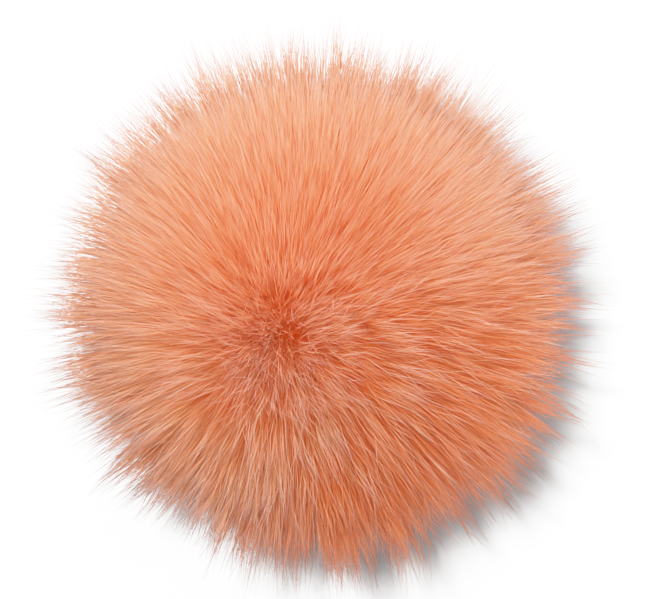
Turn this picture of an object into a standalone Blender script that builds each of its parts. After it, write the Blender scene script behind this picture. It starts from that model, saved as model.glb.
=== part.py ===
"""A fur pom pom at rest on a surface: a ball of long pile, parted into locks, on a small flat spot.

The ball is one closed solid. Its heart is the pile where it stands too close to part, and each lock
is drawn out of one four-sided patch of the heart's surface, so that locks are joined at their roots
alone. They lean away from a parting on top and sag a little at the sides. Under the ball they are
shorter and lie level on the surface.

Metres, +Z up. The origin is the middle of the flat spot, on the surface that the ball rests on.
"""

from math import cos, pi, radians, sin, sqrt
from random import Random

import bmesh
import bpy
from mathutils import Vector, noise

# Driving dimensions of the ball.
SPAN = 0.135  # across the tips of the longest locks
PILE_DEPTH = 0.0165  # from the heart to the tips
HEART_HEIGHT = 0.0490  # the heart's middle above the surface it rests on
CROWN_SHARE = 0.95  # the reach upwards, as a share of the reach to the sides
PARTING = Vector((-0.0079, -0.0050))  # where the locks part on top, off the middle in plan
LUMP = 0.0016  # how far the heart swells and dips
LUMP_PITCH = 0.030  # between one swelling and the next

# The locks.
PATCH_POINTS = 52  # corners of the coarse mesh whose triangles hold three patches each
PATCH_JITTER = 0.30  # how far a corner strays, as a share of the pitch between corners
LOCK_TAPER = (0.88, 0.70, 0.47, 0.22)  # a lock's width at each ring on its way out, beside its root's
SHORTEST, LONGEST = 0.80, 1.02  # a lock's length, as shares of the way from its root to the reach
SAG = 0.16  # how far the locks at the sides lean down, as a slope
STRAY = 0.16  # how far a lock leans off its neighbours' direction, as a slope
SWEEP = 0.22  # how far whole tresses lean together, as a slope
SWEEP_PITCH = 0.045  # between one tress and the next
FLOOR_SHARE = 0.45  # a lock's length right under the ball, as a share of what it would be higher up
FREE_HEIGHT = 0.030  # from here up the locks have their whole length
PRESSED = 0.0011  # the least half-thickness of a lock that lies on the surface
LEAST_LIFT = 0.0006  # a patch with its middle lower than this is part of the flat spot
SEED = 4

# The finish.
PILE_COLOUR = (0.87, 0.36, 0.17, 1.0)
PILE_ROUGHNESS = 0.85
CREASE_ANGLE = radians(40)  # edges sharper than this stay crisp under smooth shading

REACH = SPAN / 2  # from the middle to the outermost tips
HEART_RADIUS = REACH - PILE_DEPTH
MIDDLE = Vector((0.0, 0.0, HEART_HEIGHT))
GOLDEN_ANGLE = pi * (3 - sqrt(5))
NOISE_APART = [Vector((7.3 * i, 3.1 * i, -5.7 * i)) for i in range(3)]  # a field each for x, y and z


def clear_scene():
    for obj in list(bpy.data.objects):
        bpy.data.objects.remove(obj, do_unlink=True)


def sphere_points(count, jitter, rng):
    """Directions spread evenly over a sphere on a golden spiral, each moved a little off its place."""
    pitch = sqrt(4 * pi / count)
    points = []
    for i in range(count):
        height = 1 - (2 * i + 1) / count
        ring = sqrt(1 - height * height)
        turn = i * GOLDEN_ANGLE
        point = Vector((ring * cos(turn), ring * sin(turn), height))
        stray = Vector((rng.gauss(0, 1), rng.gauss(0, 1), rng.gauss(0, 1))).normalized()
        points.append((point + stray * jitter * pitch * rng.random()).normalized())
    return points


def hull_triangles(points):
    """The triangles of the points' convex hull, as corner numbers, always in the same order."""
    hull = bmesh.new()
    for point in points:
        hull.verts.new(point)
    hull.verts.index_update()
    bmesh.ops.convex_hull(hull, input=hull.verts)
    triangles = []
    for face in hull.faces:
        corners = [vert.index for vert in face.verts]
        first = corners.index(min(corners))
        triangles.append(tuple(corners[first:] + corners[:first]))
    hull.free()
    return sorted(triangles)


def add_patches(bm, rng):
    """Covers a unit sphere with four-sided patches, three in each triangle between the points."""
    points = sphere_points(PATCH_POINTS, PATCH_JITTER, rng)
    corners = [bm.verts.new(point) for point in points]
    middles = {}
    for triangle in hull_triangles(points):
        centre = bm.verts.new(sum((points[i] for i in triangle), Vector()).normalized())
        sides = [tuple(sorted((triangle[i], triangle[i - 2]))) for i in range(3)]
        for side in sides:
            if side not in middles:
                middles[side] = bm.verts.new((points[side[0]] + points[side[1]]).normalized())
        for i, corner in enumerate(triangle):
            bm.faces.new((corners[corner], middles[sides[i]], centre, middles[sides[i - 1]]))


def crown(direction):
    """The share of its sideways reach that the ball has in a direction: less towards the top."""
    return 1 - (1 - CROWN_SHARE) * max(0.0, direction.z) ** 2


def heart_point(direction):
    """Where the heart's surface lies in a direction from its middle, flat where it meets the floor."""
    lump = LUMP * noise.noise(direction * HEART_RADIUS / LUMP_PITCH)
    radius = HEART_RADIUS * crown(direction) + lump
    if direction.z * radius < -HEART_HEIGHT:
        radius = HEART_HEIGHT / -direction.z
    point = MIDDLE + direction * radius
    return Vector((point.x, point.y, max(point.z, 0.0)))


def lean(root, rng):
    """The directions in which a lock leaves its root and in which its tip points."""
    parting = Vector((PARTING.x, PARTING.y, HEART_HEIGHT))
    leave = (root - parting).normalized()
    tress = Vector([noise.noise(root / SWEEP_PITCH + apart) for apart in NOISE_APART]) * SWEEP
    own = Vector([rng.uniform(-STRAY, STRAY) for _ in range(3)])
    sag = Vector((0.0, 0.0, SAG * (1 - leave.z * leave.z)))
    return leave, (leave + tress + own - sag).normalized()


def no_steeper(heading, slope):
    """A heading turned up until it falls by no more than a share of its length."""
    if heading.z >= -slope:
        return heading
    flat = Vector((heading.x, heading.y, 0.0)).normalized() * sqrt(1 - slope * slope)
    return Vector((flat.x, flat.y, -slope))


def press(centre, offsets):
    """A ring's offsets, pressed thin enough to stay above the floor."""
    deepest = -min(offset.z for offset in offsets)
    squeeze = min(1.0, centre.z / deepest) if deepest > 0 else 1.0
    return [Vector((offset.x, offset.y, offset.z * squeeze)) for offset in offsets]


def grow_lock(bm, patch, rng):
    """Draws one lock out of a patch, ring by ring, and closes it in a point."""
    root = patch.calc_center_median()
    outline = [vert.co - root for vert in patch.verts]
    leave, aim = lean(root, rng)
    from_middle = root - MIDDLE
    room = REACH * crown(from_middle.normalized()) - from_middle.length
    freedom = min(1.0, root.z / FREE_HEIGHT)
    length = room * rng.uniform(SHORTEST, LONGEST) * (FLOOR_SHARE + (1 - FLOOR_SHARE) * freedom)
    fall = max(0.0, root.z - PRESSED) / length
    widths = (*LOCK_TAPER, 0.0)
    centre, face = root, patch
    for ring, width in enumerate(widths, start=1):
        heading = no_steeper(leave.lerp(aim, ring / len(widths)).normalized(), fall)
        centre = centre + heading * length / len(widths)
        offsets = press(centre, [offset * width for offset in outline])
        face = bmesh.ops.extrude_discrete_faces(bm, faces=[face])["faces"][0]
        for vert, offset in zip(face.verts, offsets):
            vert.co = centre + offset
    bmesh.ops.pointmerge(bm, verts=list(face.verts), merge_co=centre)


def pile_material():
    material = bpy.data.materials.new("pile")
    material.use_nodes = True
    shader = material.node_tree.nodes["Principled BSDF"]
    shader.inputs["Base Color"].default_value = PILE_COLOUR
    shader.inputs["Roughness"].default_value = PILE_ROUGHNESS
    shader.inputs["Metallic"].default_value = 0.0
    return material


def build_pompom():
    rng = Random(SEED)
    bm = bmesh.new()
    add_patches(bm, rng)
    for vert in bm.verts:
        vert.co = heart_point(vert.co)
    bmesh.ops.recalc_face_normals(bm, faces=bm.faces)
    for patch in [face for face in bm.faces if face.calc_center_median().z > LEAST_LIFT]:
        grow_lock(bm, patch, rng)
    bmesh.ops.recalc_face_normals(bm, faces=bm.faces)
    mesh = bpy.data.meshes.new("pompom")
    bm.to_mesh(mesh)
    bm.free()
    mesh.shade_smooth()
    mesh.set_sharp_from_angle(angle=CREASE_ANGLE)
    mesh.materials.append(pile_material())
    pompom = bpy.data.objects.new("pompom", mesh)
    bpy.context.scene.collection.objects.link(pompom)
    return pompom


clear_scene()
build_pompom()
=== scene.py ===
"""The looks of a fur pom pom: its long pile as real strands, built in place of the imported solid.

Every strand is a closed, tapered, three-sided tube. Strands stand on a dense heart, gather into
wisps, the wisps into tufts and the tufts into locks, and all of them lie away from one parting.
"""

import bpy
import numpy as np
from bpy.props import FloatProperty, FloatVectorProperty, IntProperty, PointerProperty
from bpy.types import Operator, Panel, PropertyGroup
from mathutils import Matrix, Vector


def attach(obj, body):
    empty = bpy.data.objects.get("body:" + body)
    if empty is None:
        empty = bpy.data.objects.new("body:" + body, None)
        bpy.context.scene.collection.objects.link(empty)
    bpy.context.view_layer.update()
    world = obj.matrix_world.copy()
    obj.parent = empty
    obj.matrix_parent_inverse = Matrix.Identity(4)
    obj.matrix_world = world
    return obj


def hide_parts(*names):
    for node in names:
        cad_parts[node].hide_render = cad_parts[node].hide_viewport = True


bl_info = {
    "name": "Fur Pom Pom",
    "version": (1, 0, 0),
    "blender": (4, 5, 0),
    "location": "View3D > Sidebar > Pom Pom",
    "description": "Builds a long-pile fur pom pom on a plain floor",
    "category": "Add Mesh",
}

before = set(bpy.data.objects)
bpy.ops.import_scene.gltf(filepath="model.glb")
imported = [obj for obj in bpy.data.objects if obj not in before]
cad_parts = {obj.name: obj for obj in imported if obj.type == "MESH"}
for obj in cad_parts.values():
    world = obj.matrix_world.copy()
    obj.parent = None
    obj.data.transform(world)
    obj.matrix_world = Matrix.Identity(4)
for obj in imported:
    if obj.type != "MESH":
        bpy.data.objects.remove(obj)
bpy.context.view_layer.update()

BODY = "root"
NODE = "pompom"

# The middle of the ball.
MIDDLE = np.array([0.0, 0.0, 0.0490])

# The sides of a strand, and its map: its width there, and the margins at its root and its tip.
SIDES = 3
UV_MAP = "OFBake"
MAP_WIDTH = 0.006
MAP_MARGIN = 0.01


class PileSettings(PropertyGroup):
    heart_radius: FloatProperty(
        name="Heart radius",
        description="From the middle of the ball to where the strands are rooted",
        default=0.0440,
        subtype="DISTANCE",
        unit="LENGTH",
    )
    crown_share: FloatProperty(
        name="Crown share",
        description="The heart's reach upwards, as a share of its reach sideways",
        default=0.91,
    )
    locks: IntProperty(
        name="Locks",
        description="How many large locks the pile parts into",
        default=300,
    )
    tufts: IntProperty(
        name="Tufts",
        description="How many tufts the locks part into",
        default=2400,
    )
    wisps: IntProperty(
        name="Wisps",
        description="How many fine wisps the tufts part into",
        default=9000,
    )
    length: FloatProperty(
        name="Pile length",
        description="Length of a full-grown strand beyond the heart",
        default=0.0305,
        unit="LENGTH",
    )
    parting: FloatVectorProperty(
        name="Parting",
        description="Where on top the pile parts, in plan",
        default=(-0.0140, -0.0125),
        size=2,
        unit="LENGTH",
    )
    lean: FloatProperty(
        name="Lean",
        description="How far the strands near the parting lie over, as a slope",
        default=0.6,
    )
    seed: IntProperty(name="Seed", description="Seed of the pile's irregularity", default=7)


def layer_settings(name, **defaults):
    """A group of settings for one layer of the pile, with defaults of its own."""
    fields = {
        "strands": IntProperty(
            name="Strands", description="How many strands it has", default=defaults["strands"]
        ),
        "shortest": FloatProperty(
            name="Shortest",
            description="Its shortest strands, as a share of the pile's length",
            default=defaults["shortest"],
        ),
        "longest": FloatProperty(
            name="Longest",
            description="Its longest strands, as a share of the pile's length",
            default=defaults["longest"],
        ),
        "thickness": FloatProperty(
            name="Thickness",
            description="Diameter of a strand where it is thickest",
            default=defaults["thickness"],
            unit="LENGTH",
        ),
        "steps": IntProperty(
            name="Steps", description="Lengths of tube in a strand", default=defaults["steps"]
        ),
        "stray": FloatProperty(
            name="Stray",
            description="How far a strand leans off its wisp, as a slope",
            default=defaults["stray"],
        ),
        "gather": FloatProperty(
            name="Gather",
            description="How far a strand's tip is drawn into its wisp, from 0 to 1",
            default=defaults["gather"],
        ),
        "alone": FloatProperty(
            name="Alone",
            description="The share of its strands that stand apart from their wisps",
            default=defaults["alone"],
        ),
        "wave": FloatProperty(
            name="Wave",
            description="How far a strand waves to and fro",
            default=defaults["wave"],
            unit="LENGTH",
        ),
        # The back tone and the front tone differ as painted shade: the near side, away from the light,
        # gets the deeper front tone.
        "back_tone": FloatProperty(
            name="Back tone",
            description="How pale it is at the back of the ball, from 0 to 1",
            default=defaults["back_tone"],
        ),
        "front_tone": FloatProperty(
            name="Front tone",
            description="How pale it is at the front of the ball, from 0 to 1",
            default=defaults["front_tone"],
        ),
    }
    return type(name, (PropertyGroup,), {"__annotations__": fields})


UnderfurSettings = layer_settings(
    "UnderfurSettings",
    strands=147000,
    shortest=0.26,
    longest=0.76,
    thickness=0.00020,
    steps=1,
    stray=0.16,
    gather=0.35,
    alone=0.0,
    wave=0.0,
    back_tone=0.58,
    front_tone=0.25,
)
GuardHairSettings = layer_settings(
    "GuardHairSettings",
    strands=38500,
    shortest=0.58,
    longest=1.0,
    thickness=0.00016,
    steps=2,
    stray=0.17,
    gather=0.80,
    alone=0.14,
    wave=0.0003,
    back_tone=0.62,
    front_tone=0.29,
)


class FinishSettings(PropertyGroup):
    root_colour: FloatVectorProperty(
        name="Root colour",
        description="Colour of a strand where it leaves the heart",
        default=(1.0, 0.41, 0.065),
        subtype="COLOR",
        size=3,
    )
    shaft_colour: FloatVectorProperty(
        name="Shaft colour",
        description="Colour of a strand halfway along it",
        default=(1.0, 0.42, 0.155),
        subtype="COLOR",
        size=3,
    )
    tip_colour: FloatVectorProperty(
        name="Tip colour",
        description="Colour of a strand at its tip",
        default=(1.0, 0.485, 0.335),
        subtype="COLOR",
        size=3,
    )


class StageSettings(PropertyGroup):
    floor_size: FloatProperty(
        name="Floor size",
        description="Width and depth of the floor",
        default=6.0,
        unit="LENGTH",
    )
    camera_height: FloatProperty(
        name="Camera height",
        description="Camera height above the ball's middle",
        default=1.2,
        unit="LENGTH",
    )
    view_width: FloatProperty(
        name="View width",
        description="Width of the view at the height of the ball's middle",
        default=0.1625,
        unit="LENGTH",
    )


# Directions and shapes ---------------------------------------------------------------------------


GOLDEN_ANGLE = np.pi * (3 - np.sqrt(5))

# How many points are compared with the centres at a time, to save memory.
BLOCK = 2000


def unit(vectors):
    return vectors / np.maximum(np.linalg.norm(vectors, axis=-1, keepdims=True), 1e-12)


def smooth(low, high, value):
    """0 below low, 1 above high, and a smooth step between them."""
    share = np.clip((value - low) / (high - low), 0, 1)
    return share * share * (3 - 2 * share)


def spread(count, jitter, rng, crowding=0.0):
    """Directions spread over a sphere from the top down, evenly or crowded towards the top.

    Each is moved a little off its place at random.
    """
    share = (np.arange(count) + 0.5) / count
    height = 1 - 2 * share * (1 + crowding * (share - 1))
    ring = np.sqrt(1 - height**2)
    turn = np.arange(count) * GOLDEN_ANGLE
    points = np.stack([ring * np.cos(turn), ring * np.sin(turn), height], 1)
    pitch = np.sqrt(4 * np.pi / count)
    return unit(points + rng.normal(0, jitter * pitch, (count, 3)))


def crown(directions, share):
    """The share of its sideways reach that the heart has in each direction: less towards the top."""
    return 1 - (1 - share) * np.maximum(0, directions[..., 2:3]) ** 2


def heart_points(directions, pile):
    """Where the heart's surface lies in each direction."""
    return MIDDLE + directions * pile.heart_radius * crown(directions, pile.crown_share)


def nearest(points, centres):
    """For each point, the number of the centre that is nearest to it."""
    found = np.empty(len(points), int)
    for start in range(0, len(points), BLOCK):
        part = points[start : start + BLOCK]
        found[start : start + BLOCK] = np.argmax(part @ centres.T, axis=1)
    return found


# The pile ----------------------------------------------------------------------------------------


def parting_direction(pile):
    return unit(np.array([*pile.parting, pile.heart_radius + pile.length / 2]))


def aims(directions, pile):
    """Which way the pile lies at each root: away from the parting, and down a little at the sides."""
    top = parting_direction(pile)
    cosine = directions @ top
    angle = np.arccos(np.clip(cosine, -1, 1))[:, None]
    away = directions - cosine[:, None] * top
    away = unit(away - np.sum(away * directions, 1, keepdims=True) * directions)
    amount = pile.lean * smooth(*LEAN_GROWS, angle) * (1 - LEAN_FADE * smooth(*LEAN_FADES, angle))
    righted = np.array([-top[0], -top[1], 0]) * (1 - smooth(*RIGHTED, angle))
    sag = np.array([0, 0, -SAG]) * (1 - directions[:, 2:3] ** 2)
    return away * amount + righted + sag


def drawn_in(directions, pile):
    """The directions, crowded together round the parting: the pile stays dense where it opens."""
    top = parting_direction(pile)
    angle = np.arccos(np.clip(directions @ top, -1, 1))[:, None]
    return unit(directions + DRAWN_IN * (1 - smooth(0, DRAWN_WITHIN, angle)) * (top - directions))


def rim(directions):
    """1 round the ball's waist, which is its rim from above, and 0 over its top and underneath."""
    return smooth(*RIM_HEIGHTS, np.abs(directions[:, 2]))


def ruffled(directions):
    """How loose the pile is at each root: loose in front and round the rim, and sleek elsewhere."""
    front = smooth(*RUFFLED_STEP, directions @ RUFFLED_SIDE)
    return SLEEKEST + (1 - SLEEKEST) * np.maximum(front, RUFFLED_RIM * rim(directions))


def shaded(directions):
    """How much painted shade the pile's colour has at each root: deeper on the near side, away from the
    light.
    """
    return smooth(*SHADED_STEP, directions @ SHADED_SIDE)


def parted(directions, pile, reach):
    """1 at the middle of the parting, and 0 from this angle on."""
    cosine = directions @ parting_direction(pile)
    return 1 - smooth(0.0, reach, np.arccos(np.clip(cosine, -1, 1)))


def tousled(directions, pile):
    """How much the strands lean at random at each root: most where the pile parts."""
    return 1 + TOUSLED * parted(directions, pile, TOUSLED_WITHIN)


def lengthened(directions, pile):
    """How much longer the strands are at each root, to fill the pile where it parts."""
    return 1 + LENGTHENED * parted(directions, pile, LENGTHENED_WITHIN)


def hollows(directions):
    """How the pile lies away from the middle of each hollow, or towards it where it is a tuft."""
    bend = np.zeros_like(directions)
    for offset, strength in hollow_parts(directions):
        bend[:, :2] += offset * strength
    return bend


def opened(directions):
    """How far the pile is open at each root: above 0 in a hollow, and below 0 in a tuft. It sets where
    shade and light are painted on the strands.
    """
    return sum(strength for _, strength in hollow_parts(directions))


def hollow_parts(directions):
    """For each hollow, where the roots lie beside its middle and how strong it is there."""
    above = directions[:, 2:3] > 0
    for across, back, width, push in HOLLOWS:
        offset = (directions[:, :2] * HOLLOW_REACH - np.array([across, back])) / width
        distance = np.linalg.norm(offset, axis=1, keepdims=True)
        yield offset, np.where(above, push * np.exp(-(distance**2)), 0)


def curves(directions, bends, lengths, stations, pile):
    """The points of each strand: it leaves the heart upright and lies over more and more."""
    points = [heart_points(directions, pile)]
    for start, end in zip(stations, stations[1:]):
        heading = unit(directions + bends * ((start + end) / 2) ** LIE_OVER)
        points.append(points[-1] + heading * lengths[:, None] * (end - start))
    return np.stack(points, 1)


# The angles from the parting, in radians, between which the lean grows and then fades by a share, and
# between which it is righted less and less.
LEAN_GROWS = (0.0, 0.50)
LEAN_FADES = (0.35, 1.30)
LEAN_FADE = 0.7
RIGHTED = (0.1, 1.0)

# How far the pile sags at the sides, and how late along its length a strand lies over.
SAG = 0.08
LIE_OVER = 0.8

# How far the pile is drawn together, tousled and lengthened where it parts, and within which angles.
DRAWN_IN, DRAWN_WITHIN = 0.43, 0.9
TOUSLED, TOUSLED_WITHIN = 0.6, 0.45
LENGTHENED, LENGTHENED_WITHIN = 0.07, 0.6

# The heights between which the rim begins and is full, as shares of the ball's reach.
RIM_HEIGHTS = (0.60, 0.15)

# The sides on which the pile is loose, deep in colour as painted shade, and long, and how far round the
# first two reach.
RUFFLED_SIDE = np.array([0.35, -0.94, 0.0])
RUFFLED_STEP = (-0.35, 0.45)
SHADED_SIDE = np.array([0.72, -0.69, 0.0])
SHADED_STEP = (0.25, 0.85)
FULLER_SIDE = np.array([0.6, -0.8, 0.0])

# How loose the pile is round the rim, and the least that it is loose anywhere.
RUFFLED_RIM = 0.85
SLEEKEST = 0.15

# Where the pile opens, or closes into a tuft: metres across and back, at this reach from the middle,
# then the width, and how far the pile leans there.
HOLLOW_REACH = 0.058
HOLLOWS = (
    (-0.0190, 0.0070, 0.0022, 0.22),
    (-0.0180, 0.0022, 0.0020, 0.18),
    (-0.0119, -0.0012, 0.0024, 0.20),
    (-0.0100, -0.0036, 0.0024, 0.20),
    (-0.0084, -0.0100, 0.0024, 0.22),
    (-0.0026, -0.0118, 0.0022, 0.22),
    (0.0100, -0.0112, 0.0036, 0.35),
    (0.0140, -0.0150, 0.0034, 0.40),
    (0.0076, -0.0192, 0.0024, 0.35),
    (0.0120, -0.0210, 0.0036, 0.35),
    (-0.0229, -0.0256, 0.0044, 0.40),
    (0.0210, -0.0340, 0.0044, 0.40),
    (-0.0050, -0.0225, 0.0060, -0.35),
    (0.0000, -0.0320, 0.0070, -0.30),
    (-0.0260, -0.0030, 0.0070, -0.20),
    (-0.0175, -0.0185, 0.0060, -0.30),
)

GUIDE_STEPS = 4

# How far roots are moved off their places, beside their spacing, and how they crowd towards the top.
LOCK_JITTER, TUFT_JITTER, WISP_JITTER, STRAND_JITTER = 0.30, 0.35, 0.45, 0.50
WISP_CROWDING, STRAND_CROWDING = 0.50, 0.42

# How far each level leans at random, as a slope, and how far its shade varies.
LOCK_LEAN, TUFT_LEAN, WISP_LEAN = 0.13, 0.16, 0.12
LOCK_SHADE, TUFT_SHADE, WISP_SHADE = 0.07, 0.08, 0.08

# How much of a lean is the root's own, and how much is that of the level above.
WISP_OWN, WISP_FOLLOWS = 0.4, 0.6
STRAND_OWN, STRAND_FOLLOWS = 0.3, 0.7

# How much of its random lean is left where the pile is sleek, and how much more where it is loose.
WISP_STEADY, WISP_LOOSE = 0.3, 0.7
STRAND_STEADY, STRAND_LOOSE = 0.4, 0.6

# Lengths, as shares of the pile's length. Tufts are either long or short, and more uneven at the rim.
LOCK_REACH = (0.95, 1.02)
LONG_REACH = (0.96, 1.07)
SHORT_REACH = (0.70, 0.86)
SLEEK_REACH, SLEEK_EVEN = 0.88, 0.9
LONG_SHARE = 0.30
RIM_LONG_SHARE, RIM_LONGER, RIM_SHORTER = 0.09, 0.12, 0.46
FULLER, FULLER_MEAN = 0.07, 1.03
WISP_SHORTER = 0.12

# How far the tips of tufts are drawn into their locks, and those of wisps into their tufts.
TUFT_PULL, WISP_PULL = 0.45, 0.70

# How late along their length they are drawn in: the higher, the nearer to the tip.
TUFT_CLOSES, WISP_CLOSES, STRAND_CLOSES = 1.6, 1.4, 1.2


class Guides:
    """The lines that locks, tufts and wisps follow. Each level is drawn towards the one above it."""

    def __init__(self, pile):
        rng = np.random.default_rng(pile.seed)
        lock_roots = spread(pile.locks, LOCK_JITTER, rng)
        tuft_roots = spread(pile.tufts, TUFT_JITTER, rng)
        self.roots = drawn_in(spread(pile.wisps, WISP_JITTER, rng, WISP_CROWDING), pile)
        lock_of = nearest(tuft_roots, lock_roots)
        tuft_of = nearest(self.roots, tuft_roots)

        loose = ruffled(self.roots)
        tuft_loose = ruffled(tuft_roots)
        edge = rim(tuft_roots)
        lock_bend = aims(lock_roots, pile)
        lock_bend += rng.normal(0, LOCK_LEAN, (pile.locks, 3)) * ruffled(lock_roots)[:, None]
        lock_length = rng.uniform(*LOCK_REACH, pile.locks)
        tuft_bend = 0.5 * (aims(tuft_roots, pile) + lock_bend[lock_of])
        tuft_bend += rng.normal(0, TUFT_LEAN, (pile.tufts, 3)) * tuft_loose[:, None]
        long = rng.random(pile.tufts) < LONG_SHARE - RIM_LONG_SHARE * edge
        short_reach = rng.uniform(*SHORT_REACH, pile.tufts) - RIM_SHORTER * edge
        long_reach = rng.uniform(*LONG_REACH, pile.tufts) + RIM_LONGER * edge
        reach = np.where(long, long_reach, short_reach)
        reach += (SLEEK_REACH - reach) * SLEEK_EVEN * (1 - tuft_loose)
        reach *= FULLER_MEAN + FULLER * tuft_roots @ FULLER_SIDE
        tuft_length = lock_length[lock_of] * reach
        self.bend = WISP_OWN * aims(self.roots, pile) + WISP_FOLLOWS * tuft_bend[tuft_of]
        stray = (WISP_STEADY + WISP_LOOSE * loose[:, None]) * tousled(self.roots, pile)[:, None]
        self.bend += rng.normal(0, WISP_LEAN, (pile.wisps, 3)) * stray
        self.bend += hollows(self.roots)
        self.length = tuft_length[tuft_of] * (1 - WISP_SHORTER * loose * rng.random(pile.wisps))

        stations = np.arange(GUIDE_STEPS + 1) / GUIDE_STEPS
        along = stations[None, :, None]
        lock = curves(lock_roots, lock_bend, pile.length * lock_length, stations, pile)
        tuft = curves(tuft_roots, tuft_bend, pile.length * tuft_length, stations, pile)
        tuft += (lock[lock_of] - tuft) * TUFT_PULL * tuft_loose[:, None, None] * along**TUFT_CLOSES
        self.curve = curves(self.roots, self.bend, pile.length * self.length, stations, pile)
        self.curve += (tuft[tuft_of] - self.curve) * WISP_PULL * loose[:, None, None] * along**WISP_CLOSES

        self.shade = LOCK_SHADE * rng.normal(0, 1, pile.locks)[lock_of][tuft_of]
        self.shade += TUFT_SHADE * rng.normal(0, 1, pile.tufts)[tuft_of]
        self.shade += WISP_SHADE * rng.normal(0, 1, pile.wisps)
        self.shade *= loose**2

    def at(self, numbers, place):
        """Points on the guides with these numbers, at shares of their lengths."""
        place = np.clip(place * GUIDE_STEPS, 0, GUIDE_STEPS - 1e-6)
        low = place.astype(int)
        part = (place - low)[..., None]
        rows = numbers[:, None]
        return self.curve[rows, low] * (1 - part) + self.curve[rows, low + 1] * part


# Strands that stand alone, beside the others: their random lean, thickness and gathering.
ALONE_STRAY, ALONE_WIDTH, ALONE_GATHER = 2.2, 1.25, 0.4

# Their length as a share of the pile's. They are paler where it is loose, as painted light on strands
# that catch the light, and their own deeper colour elsewhere.
ALONE_REACH = 0.96
ALONE_PAINTED_LIGHT, ALONE_DEEPER = 0.60, 0.30

# How the lengths of a layer are spread: under 1 there are more long strands than short ones.
LENGTHS, ALONE_LENGTHS = 0.75, 0.3

# What is added round the rim, as shares: strands alone, gathering, waviness and thickness.
RIM_ALONE, RIM_GATHER, RIM_WAVE, RIM_WIDTH = 0.3, 0.2, 1.2, 0.3

# How much of what a layer's longest strands lack they gain where the pile is sleek, and lose at the rim.
SLEEK_LONGER, RIM_LAYER_SHORTER = 0.5, 0.75

# The random ranges of a strand's gathering, its waving in radians, its least height and its width.
DRAWN = (0.6, 1.15)
TURNS = (3, 8)
LIFT, LIFT_RANGE = 0.0004, 0.0022
WIDTHS = (0.75, 1.2)

# Shades: the least over the top of the ball, and the most. Some strands lower down have less.
DEEPEST, PALEST = 0.25, 0.97
STEADY_SHADE, LOOSE_SHADE = 0.02, 0.09
# Painted shade in the hollows, which are made deeper, and painted light on the tufts, which are made
# paler.
GAP_PAINTED_SHADE, TUFT_PAINTED_LIGHT = 0.4, 0.3
# Painted light: strands round the sides, away from the near side, are made paler.
SIDE_PAINTED_LIGHT, TOP_DEEPER = 0.12, 0.09
# Low strands are dimmed with painted shade and made pinker; in front they are made deeper still, with
# more painted shade.
LOW_SHARE, LOW_SHADES, LOW_FRONT = 0.85, (0.0, 0.10), 0.12

# The heights of the roots between which each of these grows, as shares of the ball's reach.
SIDE_HEIGHTS = (0.88, 0.55)
TOP_HEIGHTS = (0.78, 0.95)
LOW_FROM, LOW_FROM_FRONT, LOW_TO = 0.62, 0.12, 0.15

# Where a strand's rings stand, as shares of its length, for each count of steps. The last is its tip.
STATIONS = {1: (0.0, 1.0), 2: (0.0, 0.62, 1.0)}


def shades(roots, layer, drift, alone, rng):
    """How pale each strand is, from 0 to 1: its random tone, with painted shade in front, in hollows and
    low down, and painted light on tufts, strands alone and the sides. Under DEEPEST it is a low strand,
    pink and dim with painted shade.
    """
    count = len(roots)
    loose = ruffled(roots)
    front = shaded(roots)
    vary = STEADY_SHADE + LOOSE_SHADE * loose**2
    # Painted shade: strands are deeper on the near side, away from the light.
    shade = layer.back_tone * (1 - front) + layer.front_tone * front
    shade += drift + vary * rng.normal(0, 1, count)
    # Painted light: strands alone are paler where the pile is loose.
    shade += np.where(alone, ALONE_PAINTED_LIGHT * loose - ALONE_DEEPER, 0)
    # Painted shade where the pile opens into a hollow, and painted light where it closes into a tuft.
    gap = opened(roots)[:, 0]
    shade -= gap * np.where(gap > 0, GAP_PAINTED_SHADE, TUFT_PAINTED_LIGHT)
    # Painted light: paler round the sides of the ball, away from the near side.
    shade += SIDE_PAINTED_LIGHT * smooth(*SIDE_HEIGHTS, roots[:, 2]) * (1 - front)
    shade -= TOP_DEEPER * smooth(*TOP_HEIGHTS, roots[:, 2])
    shade = np.clip(shade, DEEPEST, PALEST)
    # Painted shade: low strands round the waist and under it are dim and pinker, and deeper in front.
    below = LOW_SHARE * smooth(LOW_FROM + LOW_FROM_FRONT * front, LOW_TO, roots[:, 2])
    low = rng.uniform(*LOW_SHADES, count) + LOW_FRONT * front
    return np.where(rng.random(count) < below, low, shade)


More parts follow.
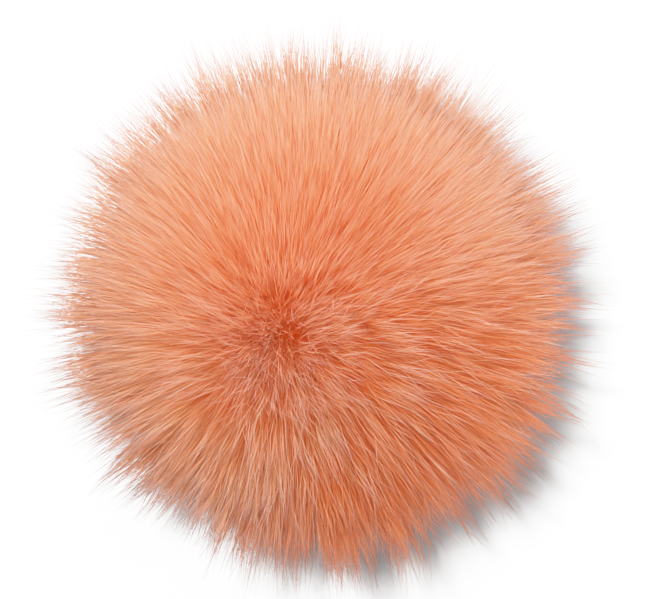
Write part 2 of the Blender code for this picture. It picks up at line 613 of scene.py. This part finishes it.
def grow(pile, layer, guides, rng):
    """One layer of strands: their points, thickness, shade, and share of full length."""
    count = layer.strands
    roots = drawn_in(spread(count, STRAND_JITTER, rng, STRAND_CROWDING), pile)
    wisp = nearest(roots, guides.roots)
    bend = STRAND_OWN * aims(roots, pile) + STRAND_FOLLOWS * guides.bend[wisp]
    loose = ruffled(roots)
    edge = rim(roots)
    alone = rng.random(count) < layer.alone * (1 + RIM_ALONE * edge)
    stray = layer.stray * np.where(alone[:, None], ALONE_STRAY, 1.0)
    stray = stray * (STRAND_STEADY + STRAND_LOOSE * loose[:, None]) * tousled(roots, pile)[:, None]
    bend += rng.normal(0, 1, (count, 3)) * stray + hollows(roots)
    gain = SLEEK_LONGER - SLEEK_LONGER * loose - RIM_LAYER_SHORTER * edge
    longest = layer.longest + (1 - layer.longest) * gain
    share = layer.shortest + (longest - layer.shortest) * rng.random(count) ** LENGTHS
    share = np.where(alone, share**ALONE_LENGTHS, share)
    reach = np.where(alone, ALONE_REACH, guides.length[wisp])
    length = pile.length * reach * share * lengthened(roots, pile)
    stations = STATIONS[layer.steps]
    curve = curves(roots, bend, length, stations, pile)

    along = np.array(stations)[None, :] * share[:, None]
    drawn = rng.uniform(*DRAWN, (count, 1)) * np.where(alone[:, None], ALONE_GATHER, 1.0)
    gather = layer.gather * loose[:, None] * drawn * along**STRAND_CLOSES
    gather *= 1 + RIM_GATHER * edge[:, None]
    curve += (guides.at(wisp, along) - curve) * gather[..., None]
    phase = rng.uniform(0, 2 * np.pi, (count, 1, 3))
    turns = rng.uniform(*TURNS, (count, 1, 1))
    wave = layer.wave * (1 + RIM_WAVE * edge[:, None, None]) * along[..., None]
    curve += wave * np.sin(phase + turns * along[..., None])

    lift = LIFT + LIFT_RANGE * rng.random((count, 1))
    curve[..., 2] = np.maximum(curve[..., 2], lift)
    shade = shades(roots, layer, guides.shade[wisp], alone, rng)
    width = layer.thickness * rng.uniform(*WIDTHS, count) * np.where(alone, ALONE_WIDTH, 1.0)
    width *= 1 + RIM_WIDTH * edge
    return curve, width, shade, share


# A strand's thickness at its root, beside its thickest, and how much of it is gone at its tip.
ROOT_WIDTH = 0.85
TIP_THINNER = 0.55

# Which way a strand's rings are turned: any direction that few strands lie along.
ASIDE = np.array([0.31, 0.17, 0.93])


def taper(share):
    """A strand's thickness at a share of its length from the root, beside its thickest."""
    return np.minimum(1.0, ROOT_WIDTH + share) * (1 - TIP_THINNER * share**3)


def tube_mesh(name, curve, width, shade, share):
    """A mesh of closed tapered tubes, one for each strand. Its map holds their shade and depth."""
    count = len(curve)
    steps = curve.shape[1] - 1
    tangent = unit(np.gradient(curve, axis=1))
    side = unit(np.cross(tangent, ASIDE))
    other = np.cross(tangent, side)
    corners = []
    for ring in range(steps):
        radius = (width * taper(STATIONS[steps][ring]) / 2)[:, None]
        for corner in range(SIDES):
            turn = 2 * np.pi * corner / SIDES + np.pi / 2
            offset = side[:, ring] * np.cos(turn) + other[:, ring] * np.sin(turn)
            corners.append(curve[:, ring] + offset * radius)
    corners.append(curve[:, steps])
    points = np.stack(corners, 1)
    per_strand = points.shape[1]
    tip = steps * SIDES

    quads = []
    for low in range(0, tip - SIDES, SIDES):
        for corner in range(SIDES):
            after = (corner + 1) % SIDES
            quads.append([low + corner, low + after, low + SIDES + after, low + SIDES + corner])
    last = tip - SIDES
    triangles = [[last + c, last + (c + 1) % SIDES, tip] for c in range(SIDES)]
    triangles.append([2, 1, 0])
    starts = np.arange(count)[:, None, None] * per_strand
    quad_loops = (np.array(quads, int).reshape(1, -1, 4) + starts).reshape(count, 4 * len(quads))
    triangle_loops = (np.array(triangles)[None] + starts).reshape(count, 3 * len(triangles))
    loops = np.concatenate([quad_loops, triangle_loops], 1).ravel()
    sizes = np.tile([4] * len(quads) + [3] * len(triangles), count)

    mesh = bpy.data.meshes.new(name)
    mesh.vertices.add(count * per_strand)
    mesh.vertices.foreach_set("co", points.astype(np.float32).ravel())
    mesh.loops.add(len(loops))
    mesh.loops.foreach_set("vertex_index", loops.astype(np.int32))
    mesh.polygons.add(len(sizes))
    mesh.polygons.foreach_set("loop_start", (np.cumsum(sizes) - sizes).astype(np.int32))

    across = np.append(np.tile([0.0, 1.0, 0.5], steps), 0.5)
    up = np.append(np.repeat(STATIONS[steps][:-1], SIDES), 1.0)
    vertex_map = np.empty((count, per_strand, 2))
    vertex_map[..., 0] = shade[:, None] + across * MAP_WIDTH
    vertex_map[..., 1] = MAP_MARGIN + (1 - 2 * MAP_MARGIN) * up * share[:, None]
    layer = mesh.uv_layers.new(name=UV_MAP)
    layer.uv.foreach_set("vector", vertex_map.reshape(-1, 2)[loops].astype(np.float32).ravel())
    mesh.update(calc_edges=True)
    mesh.shade_smooth()
    return mesh


# Finishes ----------------------------------------------------------------------------------------


class Signal:
    """A shader socket that adds Math nodes when it is used in an expression."""

    def __init__(self, finish, socket):
        self.finish = finish
        self.socket = socket

    def _math(self, operation, first, second):
        node = self.finish.add("ShaderNodeMath", {"operation": operation}, {0: first, 1: second})
        return node.out()

    def __add__(self, other):
        return self._math("ADD", self, other)

    def __radd__(self, other):
        return self._math("ADD", other, self)

    def __mul__(self, other):
        return self._math("MULTIPLY", self, other)

    def __rmul__(self, other):
        return self._math("MULTIPLY", other, self)

    def __pow__(self, other):
        return self._math("POWER", self, other)


class Placed:
    """A node in a finish, whose outputs are read as signals."""

    def __init__(self, finish, node):
        self.finish = finish
        self.node = node

    def out(self, key=0):
        return Signal(self.finish, self.node.outputs[key])


class Finish:
    """The node tree of a material or a world."""

    def __init__(self, owner):
        owner.use_nodes = True
        self.owner = owner
        self.tree = owner.node_tree
        self.shader = self.tree.nodes.get("Principled BSDF") or self.tree.nodes["Background"]

    def add(self, kind, settings=None, sockets=None):
        """Adds a node: its settings are set first, then the values or links of its sockets."""
        node = self.tree.nodes.new(kind)
        for key, value in (settings or {}).items():
            setattr(node, key, value)
        for key, value in (sockets or {}).items():
            self.feed(node.inputs[key], value)
        return Placed(self, node)

    def feed(self, socket, value):
        if isinstance(value, Signal):
            self.tree.links.new(value.socket, socket)
        elif isinstance(value, (int, float)):
            socket.default_value = value
        else:
            socket.default_value = (*value, 1.0) if len(socket.default_value) == 4 else value

    def mix(self, factor, first, second, blend="MIX"):
        """A mix of two colours."""
        settings = {"data_type": "RGBA", "blend_type": blend}
        node = self.add("ShaderNodeMix", settings, {0: factor, 6: first, 7: second})
        return node.out(2)


# The light that is lost among the strands by their roots, after more turns than are followed. There is
# less of it in the low strands, whose shade is 0. The heart's is a share of it.
GLOW = (0.14, 0.030, 0.003)
LOW_GLOW = (0.03, 0.010, 0.003)
HEART_GLOW = 0.4

# What a strand's colour is multiplied by where its shade is 0, where it is DEEPEST, and where it is 1.
# LOW_TINT dims low strands with painted shade and makes them pinker.
LOW_TINT = (0.72, 0.84, 1.20)
DEEP_TINT = (0.94, 0.53, 0.33)
PALE_TINT = (1.0, 1.28, 1.75)

# Where along a strand its colour changes, and its glow fades, as shares of full length.
ROOT_TO_SHAFT = (0.08, 0.48)
SHAFT_TO_TIP = (0.40, 0.95)
GLOW_FADES = (0.0, 0.5)


def pile_finish(name, colours):
    """Deep orange by the heart and paler towards the tips, with paler and deeper strands, some of them
    painted light and painted shade.
    """
    finish = Finish(bpy.data.materials.new(name))
    where = finish.add("ShaderNodeUVMap", {"uv_map": UV_MAP})
    parts = finish.add("ShaderNodeSeparateXYZ", sockets={0: where.out()})
    shade, along = parts.out(0), parts.out(1)
    from_root = smoothed(finish, along, *ROOT_TO_SHAFT)
    to_tip = smoothed(finish, along, *SHAFT_TO_TIP)
    lower = finish.mix(from_root, colours.root_colour, colours.shaft_colour)
    full = finish.mix(to_tip, lower, colours.tip_colour)
    # The tint carries each strand's random tone together with its painted light and shade, read from its
    # shade in the map.
    tint = finish.mix(levelled(finish, shade, DEEPEST, 1.0), DEEP_TINT, PALE_TINT)
    tint = finish.mix(levelled(finish, shade, 0.0, DEEPEST), LOW_TINT, tint)
    finish.feed(finish.shader.inputs["Base Color"], finish.mix(1.0, full, tint, "MULTIPLY"))
    glow = finish.mix(levelled(finish, shade, 0.0, DEEPEST), LOW_GLOW, GLOW)
    glow = finish.mix(smoothed(finish, along, *GLOW_FADES), glow, (0.0, 0.0, 0.0))
    finish.feed(finish.shader.inputs["Emission Color"], glow)
    finish.shader.inputs["Emission Strength"].default_value = 1.0
    finish.owner.cycles.emission_sampling = "NONE"
    finish.shader.inputs["Roughness"].default_value = 0.55
    finish.shader.inputs["Specular IOR Level"].default_value = 0.20
    return finish.owner


def levelled(finish, value, low, high):
    """A straight step of a signal between two values, from 0 to 1."""
    return finish.add("ShaderNodeMapRange", {"clamp": True}, {0: value, 1: low, 2: high}).out()


def smoothed(finish, value, low, high):
    """A smooth step of a signal between two values."""
    settings = {"interpolation_type": "SMOOTHSTEP"}
    return finish.add("ShaderNodeMapRange", settings, {0: value, 1: low, 2: high}).out()


def heart_finish(colours):
    """The dense pile between the strands: fine, deep orange and uneven."""
    finish = Finish(bpy.data.materials.new("dense_pile"))
    where = finish.add("ShaderNodeTexCoord").out("Object")
    settings = {"noise_dimensions": "3D"}
    fine = finish.add("ShaderNodeTexNoise", settings, {"Vector": where, "Scale": 900.0, "Detail": 3.0})
    broad = finish.add("ShaderNodeTexNoise", settings, {"Vector": where, "Scale": 120.0, "Detail": 2.0})
    level = fine.out("Fac") * 0.6 + broad.out("Fac") * 0.4
    colour = finish.mix(smoothed(finish, level, 0.3, 0.7), colours.root_colour, colours.shaft_colour)
    finish.feed(finish.shader.inputs["Base Color"], colour)
    finish.shader.inputs["Roughness"].default_value = 0.85
    finish.shader.inputs["Emission Color"].default_value = (*GLOW, 1.0)
    finish.shader.inputs["Emission Strength"].default_value = HEART_GLOW
    finish.owner.cycles.emission_sampling = "NONE"
    bump = finish.add("ShaderNodeBump", sockets={"Strength": 0.6, "Distance": 0.0006, "Height": level})
    finish.feed(finish.shader.inputs["Normal"], bump.out())
    return finish.owner


def floor_finish():
    finish = Finish(bpy.data.materials.new("plain_floor"))
    where = finish.add("ShaderNodeTexCoord").out("Object")
    grain = finish.add("ShaderNodeTexNoise", sockets={"Vector": where, "Scale": 40.0, "Detail": 2.0})
    tone = finish.mix(grain.out("Fac"), (0.25, 0.25, 0.25), (0.27, 0.27, 0.27))
    finish.feed(finish.shader.inputs["Base Color"], tone)
    finish.shader.inputs["Roughness"].default_value = 0.9
    finish.shader.inputs["Specular IOR Level"].default_value = 0.1
    return finish.owner


def studio_finish():
    """Soft light from all round, and far more of it from overhead and from high up at the back."""
    finish = Finish(bpy.data.worlds.new("studio"))
    where = finish.add("ShaderNodeTexCoord").out("Generated")
    light = ROOM_LIGHT
    for side, strength in SOFTBOXES:
        dot = {"operation": "DOT_PRODUCT"}
        facing = finish.add("ShaderNodeVectorMath", dot, {0: where, 1: side}).out("Value")
        ahead = finish.add("ShaderNodeMath", {"operation": "MAXIMUM"}, {0: facing, 1: 0.0}).out()
        light = ahead**2 * strength + light
    finish.feed(finish.shader.inputs["Color"], (1.0, 1.0, 1.0))
    finish.feed(finish.shader.inputs["Strength"], light)
    return finish.owner


# Pieces ------------------------------------------------------------------------------------------


def link(name, mesh, material):
    piece = bpy.data.objects.new(name, mesh)
    mesh.materials.append(material)
    bpy.context.scene.collection.objects.link(piece)
    return piece


class POMPOM_OT_heart(Operator):
    """Build the dense heart of the ball, where the strands are rooted"""

    bl_idname = "pompom.heart"
    bl_label = "Heart"

    def execute(self, context):
        pile = context.scene.pompom_pile
        bpy.ops.mesh.primitive_ico_sphere_add(subdivisions=5, radius=1.0)
        heart = context.object
        heart.name = "heart"
        mesh = heart.data
        points = np.empty(len(mesh.vertices) * 3, np.float32)
        mesh.vertices.foreach_get("co", points)
        directions = unit(points.reshape(-1, 3).astype(float))
        placed = heart_points(directions, pile)
        mesh.vertices.foreach_set("co", placed.astype(np.float32).ravel())
        mesh.update()
        mesh.shade_smooth()
        mesh.materials.append(heart_finish(context.scene.pompom_finish))
        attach(heart, BODY)
        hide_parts(NODE)
        return {"FINISHED"}


def build_layer(context, layer, prefix, zones, material):
    """Builds one layer's strands as pieces, from the top down."""
    pile = context.scene.pompom_pile
    guides = Guides(pile)
    strands = grow(pile, layer, guides, np.random.default_rng([pile.seed, layer.strands]))
    for zone, part in zip(zones, np.array_split(np.arange(layer.strands), len(zones))):
        name = f"{prefix}_{zone}"
        piece = link(name, tube_mesh(name, *(values[part] for values in strands)), material)
        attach(piece, BODY)


class POMPOM_OT_underfur(Operator):
    """Build the short, dense strands of the pile"""

    bl_idname = "pompom.underfur"
    bl_label = "Underfur"

    def execute(self, context):
        material = pile_finish("underfur", context.scene.pompom_finish)
        zones = ("crown", "shoulder", "waist", "foot")
        build_layer(context, context.scene.pompom_underfur, "underfur", zones, material)
        return {"FINISHED"}


class POMPOM_OT_guard_hairs(Operator):
    """Build the long, fine strands that stand out of the underfur"""

    bl_idname = "pompom.guard_hairs"
    bl_label = "Guard hairs"

    def execute(self, context):
        material = pile_finish("guard_hair", context.scene.pompom_finish)
        zones = ("crown", "shoulder", "waist", "foot")
        build_layer(context, context.scene.pompom_guard_hairs, "guard_hairs", zones, material)
        return {"FINISHED"}


# How often light is followed from strand to strand: it is what makes the deep pile glow.
BOUNCES = 16

# The light of the room, and the side and strength of each softbox in it.
ROOM_LIGHT = 0.20
SOFTBOXES = (
    ((0.0, 0.0, 1.0), 1.40),
    ((0.0, 0.8, 0.6), 2.90),
)

# The lamp that draws the ball's shadow: it lights only the floor.
LAMP_SIDE = (-0.16, 0.16, 1.0)
LAMP_LIGHT = 19.0
LAMP_SOFTNESS = 0.08

# How bright light is shown, as a film shows it: true at first, then less and less, up to white.
WHITE = 1.9
SHOULDER = ((0.45, 0.45), (0.70, 0.635), (1.0, 0.80), (1.35, 0.91))


def show_like_film(view):
    view.view_transform = "Standard"
    view.use_curve_mapping = True
    mapping = view.curve_mapping
    mapping.white_level = (WHITE, WHITE, WHITE)
    for light, shown in SHOULDER:
        mapping.curves[3].points.new(light / WHITE, shown)
    mapping.update()


# Where the camera stands in plan, a little off the ball's middle.
CAMERA_PLACE = (0.0026, 0.0011)
SENSOR_WIDTH = 36


class POMPOM_OT_stage(Operator):
    """Build the floor, the lights and the camera"""

    bl_idname = "pompom.stage"
    bl_label = "Stage"

    def execute(self, context):
        stage = context.scene.pompom_stage
        bpy.ops.mesh.primitive_plane_add(size=stage.floor_size, location=(0, 0, 0))
        floor = context.object
        floor.name = "floor"
        floor.data.materials.append(floor_finish())

        data = bpy.data.lights.new("lamp", "SUN")
        data.energy = LAMP_LIGHT
        data.angle = LAMP_SOFTNESS
        lamp = bpy.data.objects.new("lamp", data)
        lamp.rotation_euler = Vector(LAMP_SIDE).to_track_quat("Z", "Y").to_euler()
        context.scene.collection.objects.link(lamp)
        lit = bpy.data.collections.new("lit_by_lamp")
        lit.objects.link(floor)
        lamp.light_linking.receiver_collection = lit
        context.scene.world = studio_finish()
        show_like_film(context.scene.view_settings)
        context.scene.cycles.max_bounces = BOUNCES
        context.scene.cycles.diffuse_bounces = BOUNCES

        data = bpy.data.cameras.new("camera")
        data.sensor_width = SENSOR_WIDTH
        data.lens = data.sensor_width * stage.camera_height / stage.view_width
        data.clip_end = 10
        camera = bpy.data.objects.new("camera", data)
        camera.location = (*CAMERA_PLACE, MIDDLE[2] + stage.camera_height)
        context.scene.collection.objects.link(camera)
        context.scene.camera = camera
        return {"FINISHED"}


class POMPOM_PT_panel(Panel):
    bl_idname = "POMPOM_PT_panel"
    bl_label = "Pom Pom"
    bl_space_type = "VIEW_3D"
    bl_region_type = "UI"
    bl_category = "Pom Pom"

    def draw(self, context):
        for name, kind in GROUPS.items():
            for key in kind.__annotations__:
                self.layout.prop(getattr(context.scene, name), key)
        for operator in OPERATORS:
            self.layout.operator(operator.bl_idname)


GROUPS = {
    "pompom_pile": PileSettings,
    "pompom_underfur": UnderfurSettings,
    "pompom_guard_hairs": GuardHairSettings,
    "pompom_finish": FinishSettings,
    "pompom_stage": StageSettings,
}
OPERATORS = (POMPOM_OT_heart, POMPOM_OT_underfur, POMPOM_OT_guard_hairs, POMPOM_OT_stage)


def register():
    for group in GROUPS.values():
        bpy.utils.register_class(group)
    for name, group in GROUPS.items():
        setattr(bpy.types.Scene, name, PointerProperty(type=group))
    for operator in OPERATORS:
        bpy.utils.register_class(operator)
    bpy.utils.register_class(POMPOM_PT_panel)


def unregister():
    bpy.utils.unregister_class(POMPOM_PT_panel)
    for operator in reversed(OPERATORS):
        bpy.utils.unregister_class(operator)
    for name in GROUPS:
        delattr(bpy.types.Scene, name)
    for group in reversed(GROUPS.values()):
        bpy.utils.unregister_class(group)


def main():
    register()
    bpy.ops.pompom.heart()
    bpy.ops.pompom.underfur()
    bpy.ops.pompom.guard_hairs()
    bpy.ops.pompom.stage()


if __name__ == "__main__":
    main()
